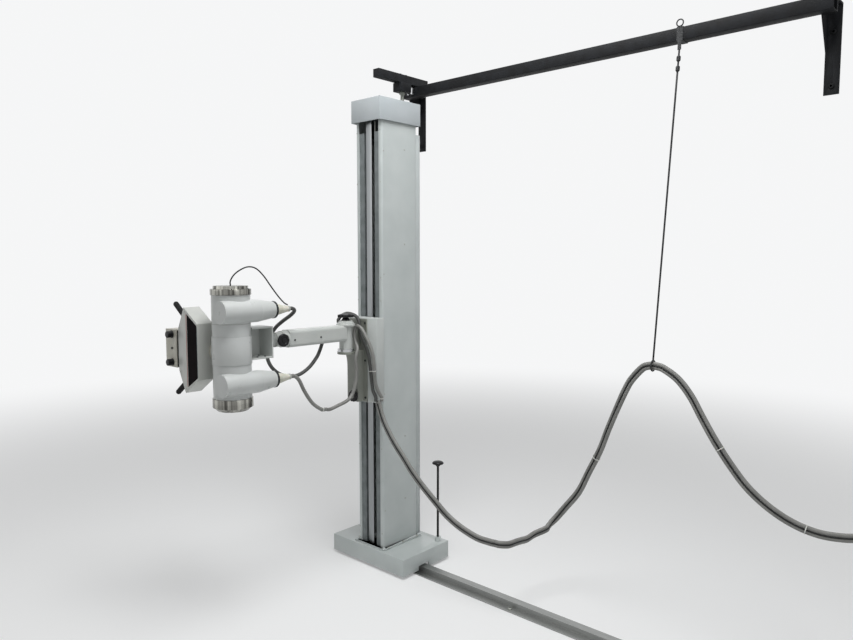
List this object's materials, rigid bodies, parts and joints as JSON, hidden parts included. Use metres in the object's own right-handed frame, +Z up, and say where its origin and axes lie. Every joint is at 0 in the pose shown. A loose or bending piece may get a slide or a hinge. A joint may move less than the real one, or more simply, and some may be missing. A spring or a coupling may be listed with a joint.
{
  "type": "floor-to-wall x-ray tube stand",
  "caption": "Column on a floor rail, steadied by a wall rail, whose counterbalanced carriage carries a swivel arm with an x-ray tube and its collimator.",
  "frame": {"origin": "on the floor, under the column's own centre line, with the column at the left end of its travel", "axes": "+X along the rails, +Y towards the wall, +Z up"},
  "size_m": [2.623, 1.3613, 2.52],
  "materials": {
    "rail_steel": "satin",
    "black_steel": "satin",
    "column_paint": "satin",
    "light_paint": "satin",
    "grey_casting": "satin",
    "bright_strip": "satin",
    "inner_steel": "matt",
    "black_plastic": "matt",
    "rod_steel": "satin",
    "tube_enamel": "gloss",
    "ring_steel": "satin",
    "insert_glass": "clear",
    "boot_cream": "matt",
    "collimator_paint": "satin",
    "window_dark": "gloss",
    "cable_sheath": "matt",
    "strap_black": "matt"
  },
  "bodies": {
    "rails": {"floor_rail": "rail_steel", "wall_rail": "black_steel", "wall_brackets": "black_steel", "rail_strap": "strap_black", "cable_saddle": "black_plastic", "cable_wall_run": "cable_sheath"},
    "column": {"base_trolley": "column_paint", "mast_foot": "column_paint", "mast": "column_paint", "guide_bars": "black_steel", "front_strip": "bright_strip", "rear_cover": "column_paint", "mast_cap": "column_paint", "sheave_axle": "rail_steel", "guide_bar_top": "black_steel", "guide_plate": "grey_casting", "rope_front": "rail_steel", "rope_rear": "rail_steel", "cable_crossing": "cable_sheath"},
    "wheel_left": {"base_wheel_left": "rail_steel"},
    "wheel_right": {"base_wheel_right": "rail_steel"},
    "roller_front": {"guide_roller_front": "rail_steel"},
    "roller_rear": {"guide_roller_rear": "rail_steel"},
    "brake": {"brake_rod": "rod_steel"},
    "sheave_pair": {"sheaves": "inner_steel"},
    "weight": {"counterweight": "inner_steel"},
    "carriage": {"carriage_box": "light_paint", "carriage_inner": "inner_steel", "pivot_bracket": "grey_casting", "pivot_pin": "rail_steel", "cable_riser": "cable_sheath", "cable_rear": "cable_sheath", "cable_bundle": "cable_sheath"},
    "rollers_up": {"carriage_rollers_upper": "rail_steel"},
    "rollers_low": {"carriage_rollers_lower": "rail_steel"},
    "height_lock": {"carriage_knob": "black_plastic"},
    "arm": {"arm_tube": "light_paint", "arm_clamp": "light_paint", "pivot_disc": "light_paint", "cable_lower": "cable_sheath", "cable_upper": "cable_sheath"},
    "swivel_lock": {"swivel_knob": "black_plastic"},
    "turn_lock": {"tube_lock_knob": "black_plastic"},
    "tube_head": {"turn_shaft": "light_paint", "yoke_bracket": "light_paint", "tube_band": "tube_enamel", "tube_housing": "tube_enamel", "end_rings": "ring_steel", "tube_insert": "insert_glass", "cable_plugs": "boot_cream", "port_flange": "light_paint", "top_wire": "cable_sheath"},
    "collimator": {"collimator_body": "collimator_paint", "collimator_housing": "collimator_paint", "collimator_window": "window_dark", "collimator_gasket": "black_plastic", "collimator_grips": "black_plastic"},
    "field_knob_upper": {"collimator_knob_upper": "black_plastic"},
    "field_knob_lower": {"collimator_knob_lower": "black_plastic"},
    "lamp_switch": {"lamp_button": "black_plastic"}
  },
  "joints": [
    {"name": "column_slide", "type": "slide", "parent": "rails", "child": "column", "axis": [1, 0, 0], "range_m": [0, 1.3]},
    {"name": "carriage_slide", "type": "slide", "parent": "column", "child": "carriage", "axis": [0, 0, 1], "range_m": [-0.6, 0.85], "deforming": ["rope_front"]},
    {"name": "counterweight_slide", "type": "slide", "parent": "column", "child": "weight", "axis": [0, 0, 1], "range_m": [-0.85, 0.6], "deforming": ["rope_rear"]},
    {"name": "wheel_left_spin", "type": "hinge", "parent": "column", "child": "wheel_left", "pos_m": [-0.2, 0, 0.0603], "axis": [0, 1, 0], "continuous": true},
    {"name": "wheel_right_spin", "type": "hinge", "parent": "column", "child": "wheel_right", "pos_m": [0.2, 0, 0.0603], "axis": [0, 1, 0], "continuous": true},
    {"name": "guide_front_spin", "type": "hinge", "parent": "column", "child": "roller_front", "pos_m": [0, 0.1817, 2.443], "axis": [0, 0, 1], "continuous": true},
    {"name": "guide_rear_spin", "type": "hinge", "parent": "column", "child": "roller_rear", "pos_m": [0, 0.2683, 2.443], "axis": [0, 0, 1], "continuous": true},
    {"name": "sheave_spin", "type": "hinge", "parent": "column", "child": "sheave_pair", "pos_m": [0, -0.022, 2.25], "axis": [1, 0, 0], "continuous": true},
    {"name": "brake_turn", "type": "hinge", "parent": "column", "child": "brake", "pos_m": [0.222, 0.15, 0.3], "axis": [0, 0, 1], "range_deg": [0, 180]},
    {"name": "roller_upper_spin", "type": "hinge", "parent": "carriage", "child": "rollers_up", "pos_m": [0, -0.0847, 1.245], "axis": [1, 0, 0], "continuous": true},
    {"name": "roller_lower_spin", "type": "hinge", "parent": "carriage", "child": "rollers_low", "pos_m": [0, -0.0847, 0.905], "axis": [1, 0, 0], "continuous": true},
    {"name": "height_lock_turn", "type": "hinge", "parent": "carriage", "child": "height_lock", "pos_m": [0.025, -0.242, 0.904], "axis": [0, 1, 0], "range_deg": [0, 180]},
    {"name": "arm_swivel", "type": "hinge", "parent": "carriage", "child": "arm", "pos_m": [0, -0.28, 1.217], "axis": [0, 0, 1], "range_deg": [-90, 90]},
    {"name": "swivel_lock_turn", "type": "hinge", "parent": "arm", "child": "swivel_lock", "pos_m": [0, -0.28, 1.27], "axis": [0, 0, 1], "range_deg": [0, 180]},
    {"name": "turn_lock_turn", "type": "hinge", "parent": "arm", "child": "turn_lock", "pos_m": [0.04, -0.686, 1.217], "axis": [1, 0, 0], "range_deg": [0, 180]},
    {"name": "tube_turn", "type": "hinge", "parent": "arm", "child": "tube_head", "pos_m": [0, -0.7, 1.217], "axis": [0, 1, 0], "range_deg": [-180, 30]},
    {"name": "collimator_turn", "type": "hinge", "parent": "tube_head", "child": "collimator", "pos_m": [-0.1, -0.915, 1.18], "axis": [1, 0, 0], "range_deg": [-45, 45]},
    {"name": "field_upper_turn", "type": "hinge", "parent": "collimator", "child": "field_knob_upper", "pos_m": [-0.335, -1.01, 1.242], "axis": [0, 1, 0], "range_deg": [0, 270]},
    {"name": "field_lower_turn", "type": "hinge", "parent": "collimator", "child": "field_knob_lower", "pos_m": [-0.335, -1.01, 1.118], "axis": [0, 1, 0], "range_deg": [0, 270]},
    {"name": "lamp_press", "type": "slide", "parent": "collimator", "child": "lamp_switch", "axis": [0, 1, 0], "range_m": [0, 0.002], "stiffness_N_per_m": 300}
  ],
  "couplings": [
    {"joint": "counterweight_slide", "follows": "carriage_slide", "ratio": -1},
    {"joint": "sheave_spin", "follows": "carriage_slide", "rad_per_m": -12.5},
    {"joint": "roller_upper_spin", "follows": "carriage_slide", "rad_per_m": 55.556},
    {"joint": "roller_lower_spin", "follows": "carriage_slide", "rad_per_m": 55.556},
    {"joint": "wheel_left_spin", "follows": "column_slide", "rad_per_m": 33.333},
    {"joint": "wheel_right_spin", "follows": "column_slide", "rad_per_m": 33.333},
    {"joint": "guide_front_spin", "follows": "column_slide", "rad_per_m": 55.556},
    {"joint": "guide_rear_spin", "follows": "column_slide", "rad_per_m": -55.556}
  ]
}
